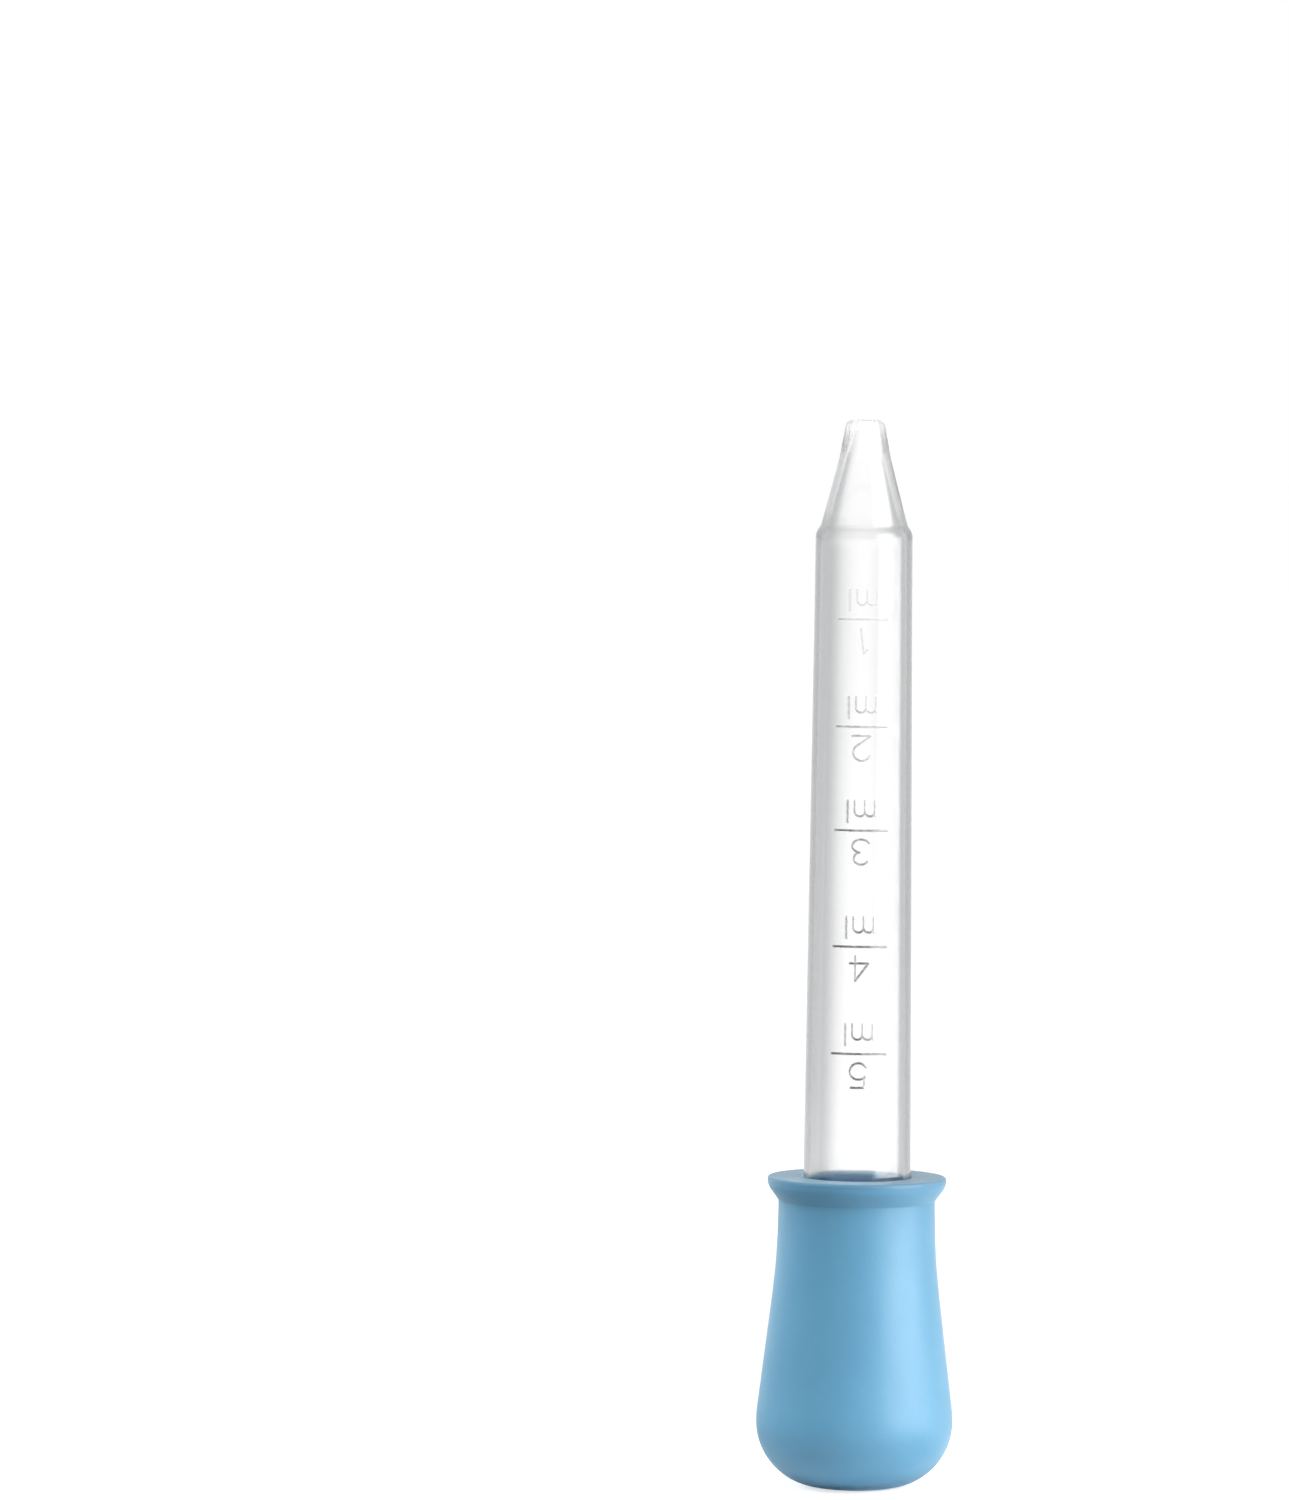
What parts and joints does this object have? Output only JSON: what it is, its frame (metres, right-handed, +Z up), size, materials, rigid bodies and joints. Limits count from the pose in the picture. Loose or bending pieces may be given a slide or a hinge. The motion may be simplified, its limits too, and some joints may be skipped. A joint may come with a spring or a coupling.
{
  "type": "dropper pipette",
  "caption": "Upright dropper pipette with a clear tapered barrel, hollow cone tip, raised volume lines and a soft blue squeeze bulb that it stands on.",
  "frame": {"origin": "centre of the flat that the bulb stands on", "axes": "+Z up along the barrel towards the tip, -Y towards the side that carries the scale"},
  "size_m": [0.022, 0.022, 0.12],
  "materials": {
    "clear_plastic": "gloss",
    "blue_silicone": "satin"
  },
  "bodies": {
    "root": {"barrel": "clear_plastic", "bulb": "blue_silicone"}
  },
  "joints": []
}
